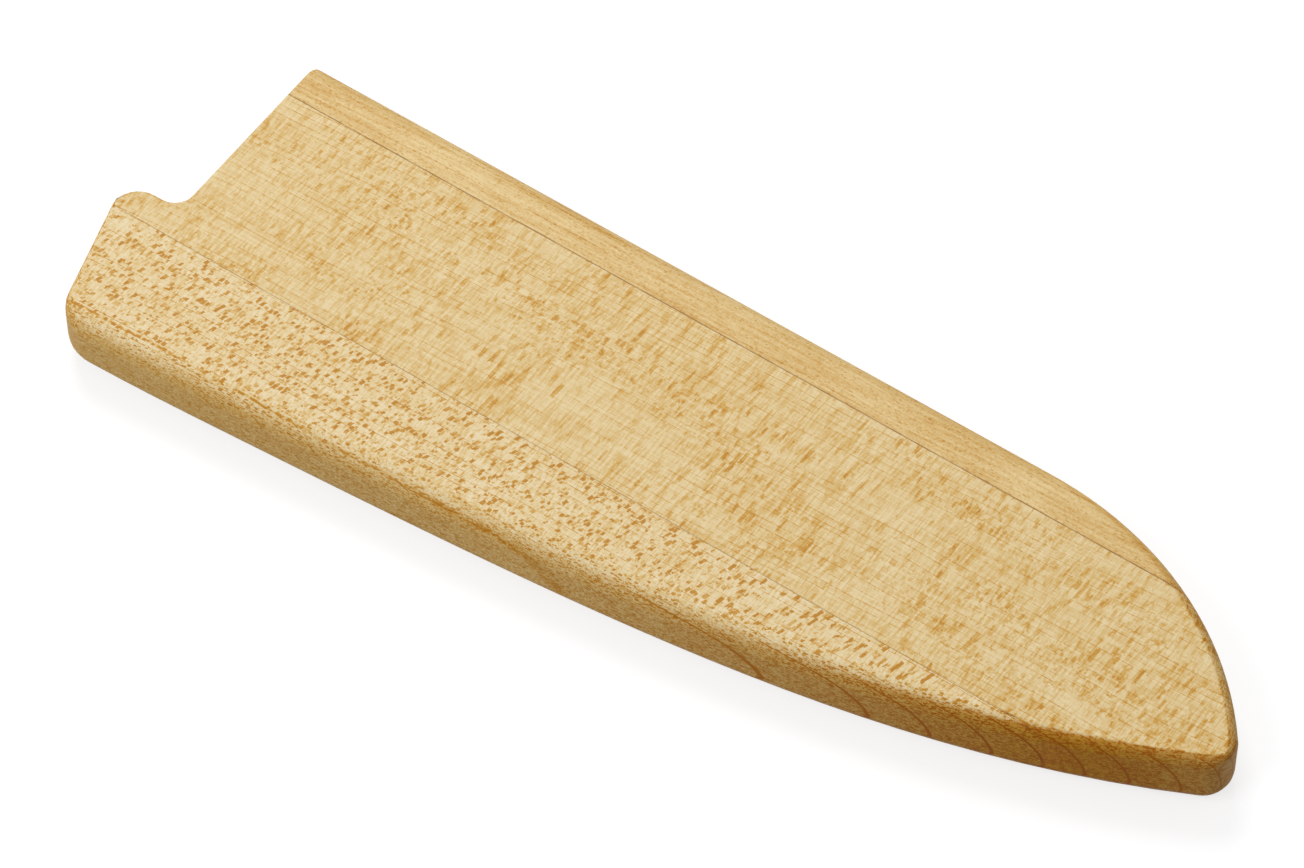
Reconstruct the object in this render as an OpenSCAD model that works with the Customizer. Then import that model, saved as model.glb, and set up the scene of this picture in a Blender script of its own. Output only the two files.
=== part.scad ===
// Wooden blade guard (a saya) for a wide chef's knife, lying on its back face.
// X runs from the mouth to the tip, Y from the edge side to the spine side and Z up.
// The origin is the middle of the guard's box, on the back face.
// The front is glued up from three staves and holds the blade's pocket. A thin back cover,
// sawn from the same three staves, closes the pocket. Magnets in the front hold the blade.

/* [Guard] */
// Length from the lip at the mouth to the tip
guard_l = 220.5; // [205:0.5:250]
// Width from the edge side to the spine side
guard_w = 71; // [66:0.5:78]
// Thickness
guard_t = 12.5; // [11.5:0.1:16]

/* [Outline] */
// Radius of the nose, where the spine side curves down to the tip
nose_r = 67.5; // [58:0.5:75]
// Radius of the tip's corner
tip_r = 5.5; // [4.5:0.25:8]
// Slope of the straight part of the edge side, in degrees
edge_slope = 3.8; // [2:0.1:5]
// How much further the belly lifts the edge side by the time it reaches the tip
belly_rise = 22.5; // [16:0.5:26]
// How late the belly curves up: a higher power keeps the edge side straight for longer
belly_power = 4.2; // [3:0.1:6]
// Radius of the round-over along the long sides, and round the back of the nose and the tip
side_round = 3.8; // [2:0.1:4.4]
// Radius of the front's round-over round the nose and the tip
tip_round = 2.1; // [0.8:0.1:2.4]
// How sharply the face's edge turns at the tip: 0 follows the corner's radius, 1 meets in a point
tip_crisp = 0.85; // [0:0.05:0.9]
// Radius of the front's round-over at the heel's corner
end_round = 1.6; // [0.8:0.1:2]
// Where the front's round-over starts to shrink towards the tip, measured from the lip
fade_start = 150; // [120:1:180]

/* [Mouth] */
// How far the lip, which guards the blade's heel, reaches past the mouth
lip_l = 10.5; // [7:0.5:16]
// Height of the lip's upper side over the edge side
lip_w = 30.4; // [27:0.1:36]
// Radius of the lip's upper corner
lip_corner_r = 5; // [1:0.25:6]
// Lean of the lip's end face, in degrees
lip_lean = 15.2; // [4:0.2:20]
// Radius of the notch between the lip and the mouth
notch_r = 3.8; // [2:0.1:5]
// Radius of the heel's corner, between the lip's end face and the edge side
heel_corner_r = 7.5; // [6.5:0.5:12]
// Radius of the back's round-over at the heel's corner
heel_round = 4.7; // [4:0.1:6.4]
// Distance over which the back's round-over shrinks from there along the edge side
heel_fade_l = 20; // [10:1:40]
// Radius of the front's round-over at the lip's upper corner
lip_round = 0.4; // [0.2:0.1:0.8]

/* [Staves] */
// Width of the stave along the spine side
spine_stave_w = 9.2; // [8.5:0.1:12]
// Width of the stave along the edge side, at the mouth
edge_stave_w = 24.5; // [18:0.5:26]
// Thickness of the back cover
cover_t = 3; // [2:0.1:3.5]

/* [Blade pocket] */
// Height of the pocket, which is the blade's thickness and its play
pocket_h = 4.4; // [4.2:0.1:5]
// Wood left between the pocket and the spine side, and round the nose
spine_wall = 7.5; // [5:0.5:8]
// Wood left between the pocket and the edge side
edge_wall = 8; // [6:0.5:12]
// Radius that the cutter leaves at the pocket's tip
pocket_tip_r = 4; // [2:0.5:6]

/* [Magnets] */
// Diameter of a magnet
magnet_d = 8; // [5:0.5:12]
// Thickness of a magnet
magnet_t = 2; // [1:0.1:3]
// Depth of a magnet's face below the pocket's floor
magnet_sink = 0.4; // [0.2:0.1:0.6]
// Gap around a magnet in its hole
magnet_gap = 0.1; // [0.05:0.05:0.2]
// Distance from the mouth to the first magnet
magnet_first = 45; // [30:1:60]
// Distance from one magnet to the next
magnet_pitch = 45; // [30:1:50]
// Distance from the spine side to the magnets
magnet_inset = 27; // [20:1:35]

/* [Hidden] */

// Steps along each curve of the outline, and along a quarter of the round-over
belly_steps = 30;
nose_steps = 22;
corner_steps = 8;
round_steps = 6;
// Rounds of a search for the point where two curves touch
search_rounds = 24;
// How far the blank and the cutters run past the faces that they cut
past = 12;
// How far the lip's end face lies inside the round cut of its upper corner, so that the two cross
corner_past = 0.05;
// The smallest that the front's round-over gets at the tip's corner
least_round = 0.3;
$fn = 64;

// The heel's corner is lowest at Y = 0 of the outline
lip_corner_y = lip_w - lip_corner_r;
lip_foot_x = lip_corner_r
    + (lip_corner_y * sin(lip_lean) - lip_corner_r + corner_past) / cos(lip_lean);
heel_x = lip_foot_x + heel_corner_r * (1 - sin(lip_lean)) / cos(lip_lean);
belly_l = guard_l - heel_x;
lip_facing = 180 + lip_lean;

// The edge side, in the outline's own X and Y: a straight rise plus the belly
function belly_share(x) = max(0, (x - heel_x) / belly_l);
function edge_y(x) = heel_corner_r - heel_corner_r / cos(edge_slope) + (x - heel_x) * tan(edge_slope)
    + belly_rise * pow(belly_share(x), belly_power);
function edge_angle(x) = atan(tan(edge_slope)
    + belly_rise * belly_power / belly_l * pow(belly_share(x), belly_power - 1));
function edge_point(x, inset = 0) =
    [x - inset * sin(edge_angle(x)), edge_y(x) + inset * cos(edge_angle(x))];

// The tip's corner touches the edge side, the nose and the end of the guard
function tip_foot(x, count) =
    count < 1 ? x : tip_foot(guard_l - tip_r + tip_r * sin(edge_angle(x)), count - 1);
tip_foot_x = tip_foot(guard_l, search_rounds);
tip_centre = edge_point(tip_foot_x, tip_r);
nose_y = guard_w - nose_r;
nose_x = tip_centre.x - sqrt(pow(nose_r - tip_r, 2) - pow(tip_centre.y - nose_y, 2));
nose_centre = [nose_x, nose_y];
nose_end = atan2(tip_centre.y - nose_y, tip_centre.x - nose_x);

// A step of the outline is its point, the direction that it faces, and the round-over of the
// back and of the front there
function facing(angle) = [cos(angle), sin(angle)];
function between(start, end, share) = start + (end - start) * share;
function within(share) = min(1, max(0, share));
function ease(share) = share * share * (3 - 2 * share);
function arc(centre, r, start, end) =
    [for (i = [0 : corner_steps]) centre + r * facing(between(start, end, i / corner_steps))];
function front_round(x) =
    between(side_round, tip_round, ease(within((x - fade_start) / (guard_l - fade_start))));
function nose_step(angle) =
    let (point = nose_centre + nose_r * facing(angle))
    [point, facing(angle), side_round, front_round(point.x)];

// The front's round-over grows from the lip's upper side down to the heel's corner and on round
// it. The back's is large there, and shrinks along the edge side.
heel_centre = [heel_x, heel_corner_r];
heel_first = heel_centre + heel_corner_r * facing(lip_facing);
function end_face(y) = [heel_first.x - (y - heel_first.y) * tan(lip_lean), y];
function heel_step(share) =
    let (angle = between(lip_facing, 270 + edge_slope, share))
    [heel_centre + heel_corner_r * facing(angle), facing(angle), heel_round,
     between(end_round, side_round, ease(share))];
heel_last_x = heel_step(1)[0].x;
function back_round(x) =
    between(side_round, heel_round, pow(1 - within((x - heel_last_x) / heel_fade_l), 2));
function edge_step(x) = [edge_point(x), facing(edge_angle(x) - 90), back_round(x), front_round(x)];

// The outline runs from the lip's end face round to the spine side. The mouth's cut takes away
// what lies between its two ends.
tip_start = edge_angle(tip_foot_x) - 90;
function tip_step(angle) =
    let (turn = tip_crisp * min(angle - tip_start, nose_end - angle),
         reach = min((tip_r - tip_round) / cos(turn), tip_r - least_round))
    [tip_centre + tip_r * facing(angle), facing(angle), side_round, tip_r - reach];
OUTLINE = [
    [end_face(lip_w), facing(lip_facing), heel_round, lip_round],
    for (i = [0 : corner_steps]) heel_step(i / corner_steps),
    for (i = [1 : belly_steps]) edge_step(between(heel_last_x, tip_foot_x, i / belly_steps)),
    for (i = [1 : corner_steps]) tip_step(between(tip_start, 0, i / corner_steps)),
    for (i = [1 : corner_steps]) tip_step(between(0, nose_end, i / corner_steps)),
    for (i = [1 : nose_steps]) nose_step(between(nose_end, 90, i / nose_steps)),
    [[lip_l / 2, guard_w], facing(90), side_round, side_round]
];

// The blank is stacked from rings of the outline, each drawn in by the round-over at its height
function ring(angle, top) = [
    for (step = OUTLINE)
        let (round = top ? step[3] : step[2], point = step[0] - step[1] * round * (1 - cos(angle)),
             rise = round * (1 - sin(angle)))
        [point.x, point.y, top ? guard_t - rise : rise]
];
RINGS = [
    for (i = [0 : round_steps]) ring(90 * (1 - i / round_steps), false),
    for (i = [0 : round_steps]) ring(90 * i / round_steps, true)
];

module blank() {
    count = len(OUTLINE);
    last = len(RINGS) - 1;
    polyhedron(
        points = [for (level = RINGS) each level],
        faces = [
            [for (i = [0 : count - 1]) i],
            for (level = [0 : last - 1], i = [0 : count - 1])
                let (low = level * count, next = (i + 1) % count)
                each [[low + i, low + count + i, low + next],
                      [low + next, low + count + i, low + count + next]],
            [for (i = [count - 1 : -1 : 0]) last * count + i]
        ]
    );
}

// What the saw cut at the mouth takes away, with the lip's and the notch's round corners
module mouth_cut() {
    corner = arc([lip_corner_r, lip_corner_y], lip_corner_r, lip_facing, 90);
    notch = arc([lip_l - notch_r, lip_w + notch_r], notch_r, 270, 360);
    translate([0, 0, -past])
        linear_extrude(guard_t + 2 * past)
            polygon([each corner, each notch, [lip_l, guard_w + past], [-past, guard_w + past],
                     [-past, corner[0].y]]);
}

// The pocket's tip touches the edge wall and the nose wall. Its foot on the edge side is found
// by halving the stretch that holds it.
pocket_nose_r = nose_r - spine_wall;
function pocket_tip(x) = edge_point(x, edge_wall + pocket_tip_r);
function pocket_foot(low, high, count) =
    let (middle = (low + high) / 2,
         fits = norm(pocket_tip(middle) - nose_centre) < pocket_nose_r - pocket_tip_r)
    count < 1 ? middle : pocket_foot(fits ? middle : low, fits ? high : middle, count - 1);
pocket_foot_x = pocket_foot(nose_x, guard_l, search_rounds);
pocket_centre = pocket_tip(pocket_foot_x);
pocket_nose_end = atan2(pocket_centre.y - nose_y, pocket_centre.x - nose_x);
pocket_top = cover_t + pocket_h;

module pocket() {
    edge_side = [for (i = [0 : belly_steps]) edge_point(pocket_foot_x * i / belly_steps, edge_wall)];
    tip = arc(pocket_centre, pocket_tip_r, edge_angle(pocket_foot_x) - 90, pocket_nose_end);
    nose = [
        for (i = [1 : nose_steps])
            nose_centre + pocket_nose_r * facing(between(pocket_nose_end, 90, i / nose_steps))
    ];
    translate([0, 0, cover_t - past])
        linear_extrude(pocket_h + past)
            polygon([[-past, edge_side[0].y], each edge_side, each tip, each nose,
                     [-past, guard_w - spine_wall]]);
}

// Magnets and their blind holes, which are drilled from the pocket into the front
magnet_count = 3;
function magnet_place(index) =
    [lip_l + magnet_first + magnet_pitch * index, guard_w - magnet_inset, pocket_top];

module magnet_holes() {
    for (index = [0 : magnet_count - 1])
        translate(magnet_place(index) - [0, 0, pocket_h / 2])
            cylinder(d = magnet_d + 2 * magnet_gap, h = pocket_h / 2 + magnet_sink + magnet_t);
}

module magnet(index) {
    color("silver")
        place()
            translate(magnet_place(index) + [0, 0, magnet_sink])
                cylinder(d = magnet_d, h = magnet_t);
}

// Moves the outline's own X and Y to the middle of the guard
module place() {
    translate([-guard_l / 2, -guard_w / 2, 0])
        children();
}

// A slice of the blank between two seams and two heights
module slice(low_y, high_y, low_z, high_z) {
    intersection() {
        blank();
        translate([-past, low_y, low_z])
            cube([guard_l + 2 * past, high_y - low_y, high_z - low_z]);
    }
}

edge_seam = edge_stave_w;
spine_seam = guard_w - spine_stave_w;

module front_stave(low_y, high_y) {
    place()
        difference() {
            slice(low_y, high_y, cover_t, guard_t + past);
            mouth_cut();
            pocket();
            magnet_holes();
        }
}

module back_stave(low_y, high_y) {
    place()
        difference() {
            slice(low_y, high_y, -past, cover_t);
            mouth_cut();
        }
}

module front_spine_stave() {
    color("burlywood")
        front_stave(spine_seam, guard_w + past);
}

module front_middle_stave() {
    color("wheat")
        front_stave(edge_seam, spine_seam);
}

module front_edge_stave() {
    color("blanchedalmond")
        front_stave(-past, edge_seam);
}

module back_spine_stave() {
    color("burlywood")
        back_stave(spine_seam, guard_w + past);
}

module back_middle_stave() {
    color("wheat")
        back_stave(edge_seam, spine_seam);
}

module back_edge_stave() {
    color("blanchedalmond")
        back_stave(-past, edge_seam);
}

module magnet_heel() {
    magnet(0);
}

module magnet_middle() {
    magnet(1);
}

module magnet_tip() {
    magnet(2);
}

front_spine_stave();
front_middle_stave();
front_edge_stave();
back_spine_stave();
back_middle_stave();
back_edge_stave();
magnet_heel();
magnet_middle();
magnet_tip();
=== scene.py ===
"""The wooden knife blade guard: eased edges, maple, magnets, a pale floor and soft light."""
import math

import bmesh
import bpy
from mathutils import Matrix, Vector
from mathutils.bvhtree import BVHTree


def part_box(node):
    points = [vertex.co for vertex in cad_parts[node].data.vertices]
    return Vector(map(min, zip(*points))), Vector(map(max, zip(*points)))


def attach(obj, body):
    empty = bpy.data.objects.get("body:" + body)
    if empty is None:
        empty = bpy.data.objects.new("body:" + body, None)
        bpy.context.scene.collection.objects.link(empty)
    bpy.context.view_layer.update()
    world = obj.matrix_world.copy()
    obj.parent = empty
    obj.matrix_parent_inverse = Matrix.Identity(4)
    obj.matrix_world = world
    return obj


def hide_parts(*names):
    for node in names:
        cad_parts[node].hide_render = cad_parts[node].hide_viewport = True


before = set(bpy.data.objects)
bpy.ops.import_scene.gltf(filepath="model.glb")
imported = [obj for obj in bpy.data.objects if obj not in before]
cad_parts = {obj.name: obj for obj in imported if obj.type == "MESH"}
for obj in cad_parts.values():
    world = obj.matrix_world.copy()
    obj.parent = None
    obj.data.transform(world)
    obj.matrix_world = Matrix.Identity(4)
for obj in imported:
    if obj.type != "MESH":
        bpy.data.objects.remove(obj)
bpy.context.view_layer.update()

MM = 0.001
WHITE = (1, 1, 1, 1)

# Planes where the staves are glued, in millimetres
SPINE_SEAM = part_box("front_spine_stave")[0][1] / MM
EDGE_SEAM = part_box("front_edge_stave")[1][1] / MM
COVER_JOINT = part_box("back_middle_stave")[1][2] / MM

# Widths of the eased edges, in millimetres
SAWN_EASE = 0.35
GLUED_EASE = 0.06
MAGNET_EASE = 0.25
EASE_SEGMENTS = 3
# Faces that meet at more than the first angle get an eased edge, unless it ends in a corner narrower
# than the second
SHARP_EDGE = math.radians(35)
NARROW_CORNER = math.radians(25)
# Corners nearer to each other than this, in millimetres, become one, and so do faces that meet at less
# than this angle
WELD = 0.002
FLAT = math.radians(0.05)
# A glued face is this near to the joint's plane, in millimetres, and faces this squarely across it
NEAR_JOINT = 0.01
SQUARE_ACROSS = 0.99

# Stretches, in millimetres in the frame, over which the sides' tint of oil and painted shade and the
# wood's figure change
OIL_AND_SHADE_DEEPEN = (-12.0, 104.0)
SPINE_SIDE_STAYS_PALE = (38.0, 20.0)
NOSE_TO_EDGE_SIDE = (14.0, -12.0)
FIGURE_DEEPENS = (-60.0, 105.0)
RIM_SHARPENS = (10.0, 90.0)
NOSE_RIM_SHARPENS = (-14.0, -2.0)

# How oil and painted shade tint the sides in general, the nose, and the edge side at the tip, in screen
# values
SIDE_OIL_AND_SHADE = (255, 240, 205)
NOSE_OIL_AND_SHADE = (231, 217, 190)
TIP_OIL_AND_SHADE = (206, 162, 34)
# How level the wood is where the tint of oil and painted shade sets in and where it is full: 1 on the
# faces, 0 on upright sides. Towards the tip and round the nose it does both sooner, which paints the
# shade of a sharper rim
TINT_SETS_IN = 0.99
TINT_FULL = 0.45
SETS_IN_SOONER = 0.0095
FULL_SOONER = 0.35
FULL_SOONER_AT_NOSE = 0.17
# How level a surface is where it begins to count as upright, and where it wholly does
UPRIGHT_FROM = (0.95, 0.6)
# Oil and painted shade make the sides' wood above this tone darker and wood below it paler
STEADY_TONE = 0.3

# The surface: how rough it is in its valleys and on its fibres, how much the faces and the sides shine,
# and the fibres' length, width and relief in millimetres
ROUGHNESS = (0.47, 0.59)
SHINE = (0.25, 0.12)
FIBRE_LENGTH = 6
FIBRE_WIDTH = 0.25
FIBRE_RELIEF = 0.02
RELIEF_STRENGTH = 0.25

# A fleck in units of its own room: how ragged and soft its outline is, and how much flecks differ in
# size. The faintest has this share of the boldest one's strength
FLECK_RAGGED = 0.4
FLECK_SOFT = 0.06
FLECK_VARIES = 0.2
FLECK_FAINTEST = 0.3

# The bold rings on the edge side stand upright at this height and lean over more and more above it
HOOK_HEIGHT = 2.5
HOOK_BEND = 0.021
HOOK_SLOPE = 0.03
HOOK_SWAY = 1.5
HOOKS_BEGIN = (-10.0, 15.0)
# Where the bold ring line runs along the edge side's round-over. It is gone at the first of its ends
# and whole from the second on
VEIN_U = -26.4
VEIN_ENDS = (10.0, -30.0)

# The glued joints' dark lines: colour, share that is lost on the sides, and for each joint the line's
# half width in millimetres and its strength
GLUE = (150, 106, 50)
GLUE_LOST_ON_SIDES = 0.7
EDGE_SEAM_LINE = (0.1, 0.6)
SPINE_SEAM_LINE = (0.13, 0.85)
COVER_JOINT_LINE = (0.06, 0.9)

# The mean of soft noise, and about that of its creases
NOISE_MIDDLE = 0.5
CREASES_MEAN = 0.2

FLOOR_ALBEDO = 0.35
FLOOR_GLOW = 0.74
AMBIENT = 0.38


def linear(red, green, blue):
    """A colour given in screen values from 0 to 255."""
    def one(value):
        share = value / 255
        return share / 12.92 if share <= 0.04045 else ((share + 0.055) / 1.055) ** 2.4
    return (one(red), one(green), one(blue), 1.0)


class Graph:
    """Adds shader nodes to one material and wires them up."""

    def __init__(self, name):
        self.material = bpy.data.materials.new(name)
        self.material.use_nodes = True
        self.tree = self.material.node_tree
        self.shader = self.tree.nodes["Principled BSDF"]

    def add(self, kind, **settings):
        node = self.tree.nodes.new(kind)
        for name, value in settings.items():
            setattr(node, name, value)
        return node

    def wire(self, value, socket):
        if isinstance(value, bpy.types.NodeSocket):
            self.tree.links.new(value, socket)
        else:
            socket.default_value = value

    def math(self, operation, a, b=0.0, c=0.0):
        node = self.add("ShaderNodeMath", operation=operation)
        for socket, value in zip(node.inputs, (a, b, c)):
            self.wire(value, socket)
        return node.outputs[0]

    def sum(self, *terms):
        """Adds up terms, each a socket, a number, or a pair of a socket and its factor."""
        total = 0.0
        for term in terms:
            socket, factor = term if isinstance(term, tuple) else (term, 1.0)
            total = self.math("MULTIPLY_ADD", socket, factor, total)
        return total

    def product(self, first, *others):
        for other in others:
            first = self.math("MULTIPLY", first, other)
        return first

    def split(self, vector):
        node = self.add("ShaderNodeSeparateXYZ")
        self.wire(vector, node.inputs[0])
        return node.outputs

    def join(self, *parts):
        node = self.add("ShaderNodeCombineXYZ")
        for part, socket in zip(parts, node.inputs):
            self.wire(part, socket)
        return node.outputs[0]

    def ramp(self, value, low, high, to_low=0.0, to_high=1.0):
        node = self.add("ShaderNodeMapRange", interpolation_type="SMOOTHSTEP")
        for name, part in (("Value", value), ("From Min", low), ("From Max", high),
                           ("To Min", to_low), ("To Max", to_high)):
            self.wire(part, node.inputs[name])
        return node.outputs[0]

    def away(self, value, middle):
        """How far a value is from the middle, on either side."""
        return self.math("ABSOLUTE", self.sum(value, -middle))

    def line(self, off, half_width, core=0.3, rim=1.6):
        """1 on a line, 0 beside it. Core and rim are where it starts and ends to fade, in half widths."""
        return self.ramp(off, half_width * core, half_width * rim, 1.0, 0.0)

    def millimetres(self):
        """The shaded point in its object's own frame, in millimetres."""
        scaled = self.add("ShaderNodeVectorMath", operation="SCALE")
        self.wire(self.add("ShaderNodeTexCoord").outputs["Object"], scaled.inputs[0])
        scaled.inputs["Scale"].default_value = 1 / MM
        return scaled.outputs[0]

    def noise(self, place, detail=1.0, rough=0.5):
        """Soft noise of about one wave per unit, from 0 to 1."""
        node = self.add("ShaderNodeTexNoise", noise_dimensions="3D")
        self.wire(place, node.inputs["Vector"])
        node.inputs["Scale"].default_value = 1.0
        node.inputs["Detail"].default_value = detail
        node.inputs["Roughness"].default_value = rough
        return node.outputs["Fac"]

    def creases(self, place, half_width=0.03):
        """Thin lines where soft noise passes its middle."""
        return self.line(self.away(self.noise(place), NOISE_MIDDLE), half_width)

    def cells(self, place):
        """Distance to the nearest of a scatter of points, one per unit cube, and that point's own colour."""
        node = self.add("ShaderNodeTexVoronoi", voronoi_dimensions="3D", feature="F1", distance="CHEBYCHEV")
        self.wire(place, node.inputs["Vector"])
        node.inputs["Scale"].default_value = 1.0
        return node.outputs["Distance"], self.split(node.outputs["Color"])

    def borders(self, value):
        """Distance to the nearest border between stretches of about one unit along a line."""
        node = self.add("ShaderNodeTexVoronoi", voronoi_dimensions="1D", feature="DISTANCE_TO_EDGE")
        self.wire(value, node.inputs["W"])
        node.inputs["Scale"].default_value = 1.0
        return node.outputs["Distance"]

    def blend(self, amount, a, b, how="MIX"):
        node = self.add("ShaderNodeMix", data_type="RGBA", blend_type=how)
        self.wire(amount, node.inputs["Factor"])
        self.wire(a, node.inputs["A"])
        self.wire(b, node.inputs["B"])
        return node.outputs["Result"]


class Maple(Graph):
    """Maple with its grain along X. U counts across the growth rings, V across the thin leaves of the rays.

    The layers add up to one tone, which runs from 0 for the palest wood to 1 for the darkest fleck.
    Sizes are in millimetres. A shift moves a layer along the grain, so that no two layers match.
    """

    def __init__(self, name, ring_slope, ring_lean, ring_sway):
        super().__init__(name)
        self.x, self.y, self.z = self.split(self.millimetres())
        self.sway = self.noise(self.place(60, 30, 50), detail=2.0)
        self.u = self.sum(self.y, (self.x, -ring_slope), (self.z, ring_lean), (self.sway, ring_sway))
        self.v = self.z
        self.tone = 0.0
        # Where the sides take their tint of oil and painted shade, set by how level they are and how near
        # the tip and nose
        level = self.math("ABSOLUTE", self.split(self.add("ShaderNodeNewGeometry").outputs["Normal"])[2])
        forward = self.ramp(self.x, *RIM_SHARPENS)
        nose = self.product(forward, self.ramp(self.y, *NOSE_RIM_SHARPENS))
        sets_in = self.sum(TINT_SETS_IN, (forward, SETS_IN_SOONER))
        full = self.sum(TINT_FULL, (forward, FULL_SOONER), (nose, FULL_SOONER_AT_NOSE))
        self.side = self.ramp(level, sets_in, full)
        self.upright = self.ramp(level, *UPRIGHT_FROM)

    def place(self, x_size, y_size, z_size, shift=0.0):
        """The point in units of the given sizes."""
        return self.join(self.sum((self.x, 1 / x_size), shift), self.sum((self.y, 1 / y_size)),
                         self.sum((self.z, 1 / z_size)))

    def ringwise(self, x_size, u_size, z_size, shift=0.0):
        """The same along the rings, with U for Y."""
        return self.join(self.sum((self.x, 1 / x_size), shift), self.sum((self.u, 1 / u_size)),
                         self.sum((self.z, 1 / z_size)))

    def leafwise(self, x_size, y_size, v_size, slant=0.0, shift=0.0):
        """The same along the rays, with V for Z. Slant leans shapes along the grain."""
        along = self.sum(self.x, (self.y, -slant), shift)
        return self.join(self.sum((along, 1 / x_size)), self.sum((self.y, 1 / y_size)),
                         self.sum((self.v, 1 / v_size)))

    def rays_lie(self, tilt, swell):
        """Rays lie level where V is Z alone. Tilt and a slow swell decide how short the face cuts them."""
        wave = self.noise(self.place(55, 22, 1000, shift=7.0))
        self.v = self.sum(self.z, self.product(self.y, tilt), (wave, swell))

    def darken(self, field, amount, middle=0.0):
        """Adds a layer to the tone. Where the field is under its middle, the wood gets paler."""
        self.tone = self.sum(self.tone, self.product(self.sum(field, -middle), amount))

    def grain(self, clouds, fibres, streaks, pores):
        """Slow changes, fine lines along the rings, fine lines along the rays, and specks."""
        slow = self.noise(self.ringwise(30, 6, 9), detail=2.0)
        self.darken(slow, clouds, NOISE_MIDDLE)
        along_rings = self.noise(self.ringwise(9, 0.5, 1.3, shift=2.0), detail=2.0, rough=0.6)
        self.darken(along_rings, fibres, NOISE_MIDDLE)
        along_rays = self.noise(self.leafwise(0.4, 6, 0.5))
        self.darken(along_rays, streaks, NOISE_MIDDLE)
        self.darken(self.creases(self.leafwise(0.9, 9, 0.9, shift=21.0)), streaks / 2, CREASES_MEAN)
        specks = self.noise(self.place(0.42, 0.42, 0.2, shift=4.0))
        self.darken(specks, pores, NOISE_MIDDLE)

    def flecks(self, size, slant, fill, amount, crowd=0.0, shift=0.0, where=1.0):
        """Rays cut lengthwise. Size is a leaf's extent along the grain, across it, and its thickness.

        Fill is how much of its room a fleck takes. Crowd gathers the flecks in clouds, whose rims are
        the sharper the smaller it is.
        """
        ragged = self.noise(self.leafwise(0.4, 0.5, 0.3, shift=shift + 3.0))
        distance, own = self.cells(self.leafwise(*size, slant, shift))
        distance = self.sum(distance, (ragged, FLECK_RAGGED), -FLECK_RAGGED * NOISE_MIDDLE)
        reach = self.sum((own[0], FLECK_VARIES), fill - FLECK_VARIES / 2)
        strength = self.ramp(own[1], 0.0, 1.0, FLECK_FAINTEST, 1.0)
        if crowd:
            cloud = self.noise(self.place(14, 9, 30, shift=shift + 11.0))
            gathered = self.ramp(cloud, NOISE_MIDDLE - crowd, NOISE_MIDDLE + crowd)
            strength = self.product(strength, gathered)
        mask = self.ramp(distance, self.sum(reach, -FLECK_SOFT), self.sum(reach, FLECK_SOFT), 1.0, 0.0)
        self.darken(self.product(mask, strength, where), amount)

    def rings(self, gap, half_width, amount):
        """The thin dark line that ends each year's growth, on the faces. Some years leave hardly any."""
        off = self.product(self.borders(self.sum((self.u, 1 / gap))), gap)
        years = self.ramp(self.noise(self.ringwise(70, 2.6, 60, shift=8.0)), 0.32, 0.56)
        dots = self.ramp(self.noise(self.ringwise(0.7, 0.3, 0.4, shift=6.0)), 0.4, 0.6, 0.2, 1.0)
        on_faces = self.sum(1.0, (self.upright, -1.0))
        self.darken(self.product(self.line(off, half_width), years, dots, on_faces), amount)

    def hooks(self, gap, half_width, amount):
        """The bold ring lines of the edge side, which run down it and hook into the underside."""
        height = self.sum(self.z, -HOOK_HEIGHT)
        across = self.sum(self.y, (self.x, -HOOK_SLOPE), (self.product(height, height), HOOK_BEND),
                          (self.sway, HOOK_SWAY))
        off = self.product(self.borders(self.sum((across, 1 / gap))), gap)
        line = self.line(off, half_width, rim=1.8)
        self.darken(self.product(line, self.upright, self.ramp(self.x, *HOOKS_BEGIN)), amount)

    def vein(self, at, half_width, amount):
        """One bold dotted ring line, where U is the given value."""
        dots = self.ramp(self.noise(self.leafwise(1.2, 1.2, 0.3, shift=15.0)), 0.35, 0.65, 0.1, 1.0)
        line = self.line(self.away(self.u, at), half_width)
        self.darken(self.product(line, dots, self.ramp(self.x, *VEIN_ENDS)), amount)

    def soak_and_shade(self, amount):
        """Oil brings out the sides' figure and darkens them as painted shade, most of all towards the tip.
        """
        figure = self.sum(self.tone, -STEADY_TONE)
        self.darken(self.product(figure, self.side, self.ramp(self.x, *FIGURE_DEEPENS)), amount)

    def colour(self, *stops):
        """Turns the tone into colour. The stops lie evenly from the palest to the darkest."""
        ramp = self.add("ShaderNodeValToRGB")
        self.wire(self.tone, ramp.inputs[0])
        points = ramp.color_ramp.elements
        while len(points) < len(stops):
            points.new(0.5)
        for index, stop in enumerate(stops):
            points[index].position = index / (len(stops) - 1)
            points[index].color = linear(*stop)
        self.paint = ramp.outputs[0]

    def glue(self, plane, value, half_width, amount):
        """A glued joint's dark line, on the plane where value is plane. It hardly shows on the sides."""
        broken = self.noise(self.place(2.5, 2.5, 2.5, shift=5.0))
        line = self.line(self.away(value, plane), half_width, core=0.4, rim=1.5)
        seen = self.sum(1.0, (self.upright, -GLUE_LOST_ON_SIDES))
        strength = self.product(line, seen, self.ramp(broken, 0.3, 0.6, amount * 0.6, amount))
        self.paint = self.blend(strength, self.paint, linear(*GLUE))

    def oil_and_shade(self):
        """Sides and ends drink more oil than the face; the tint is also painted shade, deepest round the
        nose and tip.
        """
        end = self.blend(self.ramp(self.y, *NOSE_TO_EDGE_SIDE), linear(*NOSE_OIL_AND_SHADE), linear(*TIP_OIL_AND_SHADE))
        near_end = self.product(self.ramp(self.x, *OIL_AND_SHADE_DEEPEN), self.ramp(self.y, *SPINE_SIDE_STAYS_PALE))
        self.paint = self.blend(self.side, self.paint, self.blend(near_end, linear(*SIDE_OIL_AND_SHADE), end), "MULTIPLY")

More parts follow.
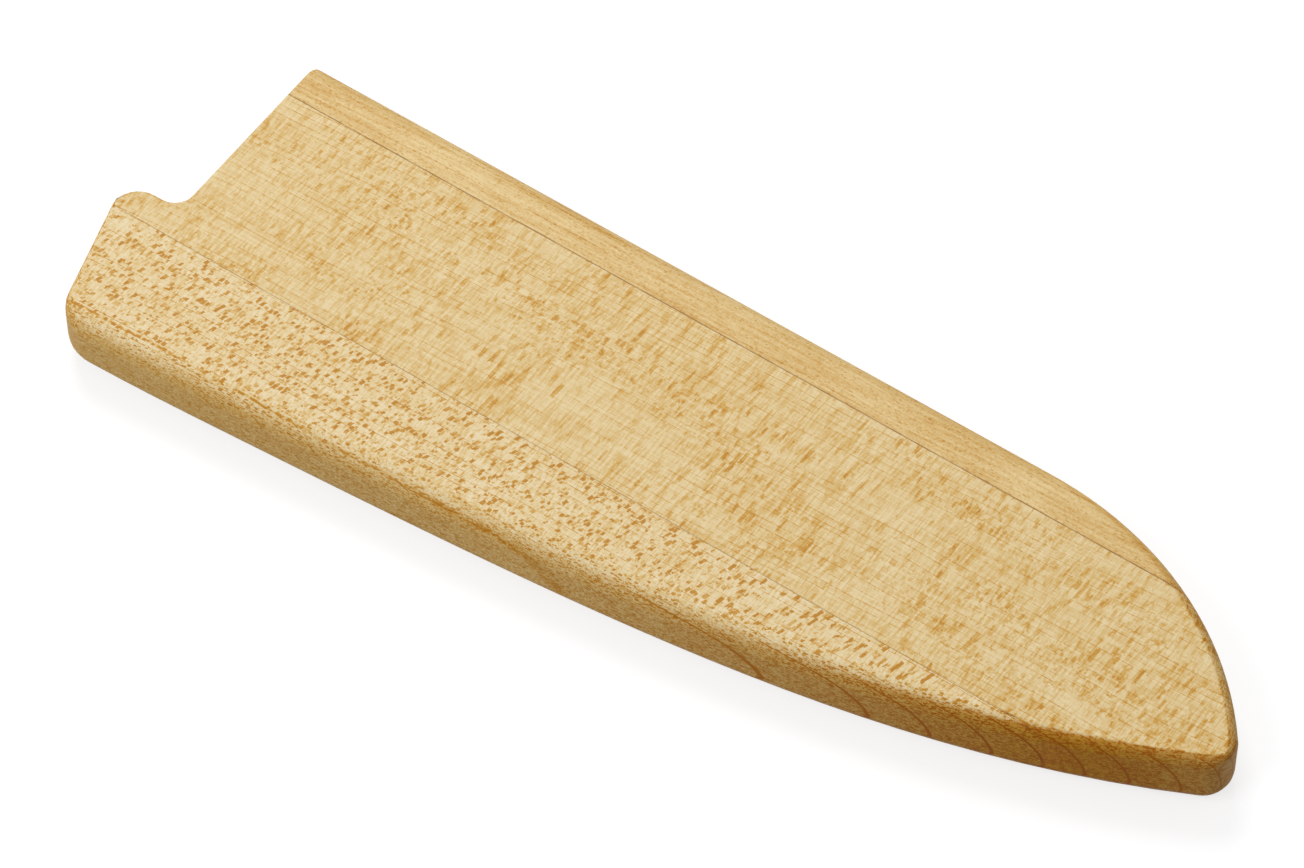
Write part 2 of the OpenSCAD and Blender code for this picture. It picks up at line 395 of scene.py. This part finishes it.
    def finish(self):
        """The low sheen and fine relief of sanded and oiled wood."""
        self.wire(self.paint, self.shader.inputs["Base Color"])
        fibres = self.noise(self.place(FIBRE_LENGTH, FIBRE_WIDTH, FIBRE_WIDTH), detail=2.0)
        bump = self.add("ShaderNodeBump")
        bump.inputs["Strength"].default_value = RELIEF_STRENGTH
        bump.inputs["Distance"].default_value = FIBRE_RELIEF * MM
        self.wire(fibres, bump.inputs["Height"])
        self.wire(bump.outputs[0], self.shader.inputs["Normal"])
        self.wire(self.ramp(fibres, 0.3, 0.7, *ROUGHNESS), self.shader.inputs["Roughness"])
        self.wire(self.ramp(self.side, 0.0, 1.0, *SHINE), self.shader.inputs["Specular IOR Level"])
        return self.material


def edge_maple():
    """Quarter-sawn and pale, with dense orange flecks that turn into bars towards the tip."""
    wood = Maple("edge maple", ring_slope=0.027, ring_lean=0.12, ring_sway=2.5)
    wood.rays_lie(tilt=wood.ramp(wood.x, -20.0, 60.0, 0.13, 0.05), swell=0.8)
    wood.darken(1.0, amount=0.19)
    wood.grain(clouds=0.2, fibres=0.45, streaks=0.45, pores=0.4)
    wood.flecks(size=(1.0, 6.0, 0.19), slant=0.3, fill=0.29, amount=0.9)
    wood.flecks(size=(0.7, 4.0, 0.12), slant=0.3, fill=0.25, amount=0.4, shift=20.0)
    wood.flecks(size=(0.8, 3.0, 0.24), slant=0.0, fill=0.3, amount=0.4, shift=60.0, where=wood.upright)
    wood.rings(gap=1.7, half_width=0.06, amount=0.9)
    wood.hooks(gap=3.0, half_width=0.08, amount=0.65)
    wood.vein(VEIN_U, half_width=0.28, amount=0.8)
    wood.soak_and_shade(1.1)
    wood.colour((237, 219, 180), (225, 196, 136), (210, 162, 76), (192, 131, 26))
    wood.glue(EDGE_SEAM, wood.y, *EDGE_SEAM_LINE)
    wood.glue(COVER_JOINT, wood.z, *COVER_JOINT_LINE)
    wood.oil_and_shade()
    return wood.finish()


def middle_maple():
    """Quarter-sawn and creamy, with a fine cross-hatch, soft flecks in clouds and wavy bars."""
    wood = Maple("middle maple", ring_slope=0.045, ring_lean=0.12, ring_sway=5.0)
    wood.rays_lie(tilt=wood.ramp(wood.away(wood.x, 10.0), 15.0, 75.0, 0.035, 0.085), swell=1.6)
    wood.darken(1.0, amount=0.215)
    wood.grain(clouds=0.25, fibres=0.6, streaks=0.5, pores=0.4)
    wood.flecks(size=(0.8, 5.0, 0.11), slant=0.05, fill=0.31, amount=0.45, crowd=0.2, shift=20.0)
    wood.flecks(size=(1.0, 8.0, 0.19), slant=0.05, fill=0.3, amount=0.55, crowd=0.12)
    wood.flecks(size=(1.5, 14.0, 0.3), slant=0.1, fill=0.26, amount=0.35, crowd=0.05, shift=40.0)
    wood.flecks(size=(0.8, 3.0, 0.24), slant=0.0, fill=0.3, amount=0.4, shift=60.0, where=wood.upright)
    wood.rings(gap=1.5, half_width=0.06, amount=0.8)
    wood.hooks(gap=3.0, half_width=0.08, amount=0.65)
    wood.soak_and_shade(1.1)
    wood.colour((234, 212, 165), (221, 190, 128), (212, 167, 82), (196, 136, 34))
    wood.glue(EDGE_SEAM, wood.y, *EDGE_SEAM_LINE)
    wood.glue(SPINE_SEAM, wood.y, *SPINE_SEAM_LINE)
    wood.glue(COVER_JOINT, wood.z, *COVER_JOINT_LINE)
    wood.oil_and_shade()
    return wood.finish()


def spine_maple():
    """Flat-sawn and plain, with soft streaks along the grain and only the ends of its rays."""
    wood = Maple("spine maple", ring_slope=0.03, ring_lean=0.8, ring_sway=3.0)
    wood.darken(1.0, amount=0.26)
    wood.grain(clouds=0.7, fibres=1.1, streaks=0.0, pores=0.6)
    wood.flecks(size=(0.9, 0.35, 3.0), slant=0.0, fill=0.25, amount=0.45, shift=9.0)
    wood.rings(gap=3.0, half_width=0.12, amount=0.5)
    wood.colour((233, 206, 149), (220, 185, 120), (207, 160, 82), (192, 134, 46))
    wood.glue(SPINE_SEAM, wood.y, *SPINE_SEAM_LINE)
    wood.glue(COVER_JOINT, wood.z, *COVER_JOINT_LINE)
    wood.oil_and_shade()
    return wood.finish()


def nickel():
    """Bright plate on the magnets, with faint marks from tumbling."""
    plate = Graph("nickel plate")
    plate.shader.inputs["Base Color"].default_value = linear(214, 212, 206)
    plate.shader.inputs["Metallic"].default_value = 1.0
    marks = plate.noise(plate.millimetres(), detail=4.0, rough=0.7)
    plate.wire(plate.ramp(marks, 0.3, 0.7, 0.14, 0.3), plate.shader.inputs["Roughness"])
    return plate.material


def on_joint(face):
    """True for a face that is glued to its neighbour: it lies in a seam or in the cover's joint."""
    centre = face.calc_center_median() / MM

    def lies_in(plane, place, across):
        return abs(place - plane) < NEAR_JOINT and abs(across) > SQUARE_ACROSS

    in_a_seam = any(lies_in(seam, centre.y, face.normal.y) for seam in (EDGE_SEAM, SPINE_SEAM))
    return in_a_seam or lies_in(COVER_JOINT, centre.z, face.normal.z)


def crowded(edge):
    """True where another edge leaves one of this edge's ends almost alongside it."""
    for corner in edge.verts:
        along = edge.other_vert(corner).co - corner.co
        for other in corner.link_edges:
            if other != edge and along.angle(other.other_vert(corner).co - corner.co) < NARROW_CORNER:
                return True
    return False


def eased_wood(node_name):
    """A stave's mesh with its flats whole and its convex edges eased, and the mesh that it was made from."""
    shape = bmesh.new()
    shape.from_mesh(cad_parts[node_name].data)
    bmesh.ops.remove_doubles(shape, verts=shape.verts, dist=WELD * MM)
    bmesh.ops.dissolve_limit(shape, angle_limit=FLAT, verts=shape.verts, edges=shape.edges)
    weights = shape.edges.layers.float.new("bevel_weight_edge")
    for edge in shape.edges:
        if edge.calc_face_angle() > SHARP_EDGE:
            edge.smooth = False
            if edge.is_convex and not crowded(edge):
                glued = sum(on_joint(face) for face in edge.link_faces)
                edge[weights] = (1.0, GLUED_EASE / SAWN_EASE, 0.0)[glued]
                edge.smooth = glued > 1
    for face in shape.faces:
        face.smooth = True
    mesh = bpy.data.meshes.new(node_name + "_wood")
    shape.to_mesh(mesh)
    solid = BVHTree.FromBMesh(shape)
    shape.free()
    return mesh, solid


def pull_back(mesh, solid, box):
    """Puts corners that the easing threw clear of the wood back onto its surface and into its box."""
    for corner in mesh.vertices:
        place, outward = solid.find_nearest(corner.co)[:2]
        if (corner.co - place).dot(outward) > 0:
            corner.co = place
        corner.co = [min(max(value, low), high) for value, low, high in zip(corner.co, *box)]


def dress(node_name, material):
    """A copy of a stave with eased edges, which stands for the node."""
    mesh, solid = eased_wood(node_name)
    piece = bpy.data.objects.new(node_name + "_wood", mesh)
    bpy.context.scene.collection.objects.link(piece)
    ease = piece.modifiers.new("eased edges", "BEVEL")
    ease.limit_method = "WEIGHT"
    ease.width = SAWN_EASE * MM
    ease.segments = EASE_SEGMENTS
    ease.use_clamp_overlap = False
    eased = piece.evaluated_get(bpy.context.evaluated_depsgraph_get())
    piece.data = bpy.data.meshes.new_from_object(eased)
    piece.modifiers.clear()
    pull_back(piece.data, solid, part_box(node_name))
    piece.data.materials.append(material)
    flat = piece.modifiers.new("flat faces shade flat", "WEIGHTED_NORMAL")
    flat.weight = 70
    flat.keep_sharp = True
    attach(piece, "root")
    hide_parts(node_name)
    return piece


woods = {"spine": spine_maple(), "middle": middle_maple(), "edge": edge_maple()}
plate = nickel()
for name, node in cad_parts.items():
    if name.startswith("magnet"):
        node.data.materials.clear()
        node.data.materials.append(plate)
        ease = node.modifiers.new("rolled edge", "BEVEL")
        ease.width = MAGNET_EASE * MM
        ease.segments = EASE_SEGMENTS
    else:
        stave = name.split("_")[1]
        dress(name, woods[stave])

# The floor shows near white to the camera and still takes the guard's shadow. It lies a hair under
# the back face.
FLOOR_REACH = 3.0
FLOOR_LEVEL = -0.02 * MM
floor_mesh = bpy.data.meshes.new("floor")
square = ((-1, -1), (1, -1), (1, 1), (-1, 1))
corners = [(x * FLOOR_REACH, y * FLOOR_REACH, FLOOR_LEVEL) for x, y in square]
floor_mesh.from_pydata(corners, [], [(0, 1, 2, 3)])
floor = bpy.data.objects.new("floor", floor_mesh)
bpy.context.scene.collection.objects.link(floor)


def seen_straight(graph):
    """1 for rays from the camera and for those that a gloss or a glass sends on, 0 for light on its way."""
    path = graph.add("ShaderNodeLightPath").outputs
    seen = graph.math("MAXIMUM", path["Is Camera Ray"], path["Is Glossy Ray"])
    return graph.math("MAXIMUM", seen, path["Is Transmission Ray"])


paper = Graph("pale floor")
paper.shader.inputs["Base Color"].default_value = (FLOOR_ALBEDO, FLOOR_ALBEDO, FLOOR_ALBEDO, 1)
paper.shader.inputs["Roughness"].default_value = 1.0
paper.shader.inputs["Specular IOR Level"].default_value = 0.0
paper.shader.inputs["Emission Color"].default_value = WHITE
paper.wire(paper.product(seen_straight(paper), FLOOR_GLOW), paper.shader.inputs["Emission Strength"])
floor_mesh.materials.append(paper.material)

# The photograph's camera: its elevation, the turn of the guard and the lens
ELEVATION = math.radians(54)
TURN = math.radians(34.92)
DISTANCE = 1.0858
SENSOR = 36.0
PHOTO_WIDTH = 1304
FOCAL_PIXELS = 6403
AIM = Vector((-4.62, 2.23, 12.5)) * MM

forward = Vector((-math.sin(TURN) * math.cos(ELEVATION),
                  math.cos(TURN) * math.cos(ELEVATION), -math.sin(ELEVATION)))
camera_data = bpy.data.cameras.new("camera")
camera_data.sensor_width = SENSOR
camera_data.lens = FOCAL_PIXELS * SENSOR / PHOTO_WIDTH
camera = bpy.data.objects.new("camera", camera_data)
bpy.context.scene.collection.objects.link(camera)
camera.location = AIM - forward * DISTANCE
camera.rotation_euler = forward.to_track_quat("-Z", "Y").to_euler()
bpy.context.scene.camera = camera


def lamp(name, direction, distance, size, share):
    """A square soft light. Share is how bright it makes a white surface that faces it."""
    data = bpy.data.lights.new(name, "AREA")
    data.size = size
    data.energy = share * (math.pi * distance) ** 2
    item = bpy.data.objects.new(name, data)
    item.location = Vector(direction).normalized() * distance
    item.rotation_euler = (-item.location).to_track_quat("-Z", "Y").to_euler()
    bpy.context.scene.collection.objects.link(item)


lamp("key light", direction=(-0.45, 0.45, 0.8), distance=1.6, size=0.7, share=0.49)
lamp("fill light", direction=(-0.32, -0.63, 0.71), distance=1.8, size=0.9, share=0.31)

world = bpy.data.worlds.new("studio")
bpy.context.scene.world = world
world.use_nodes = True
sky = world.node_tree.nodes["Background"]
sky.inputs["Color"].default_value = WHITE
path = world.node_tree.nodes.new("ShaderNodeLightPath")
seen = world.node_tree.nodes.new("ShaderNodeMapRange")
seen.inputs["To Min"].default_value = AMBIENT
world.node_tree.links.new(path.outputs["Is Camera Ray"], seen.inputs["Value"])
world.node_tree.links.new(seen.outputs[0], sky.inputs["Strength"])
bpy.context.scene.view_settings.view_transform = "Standard"
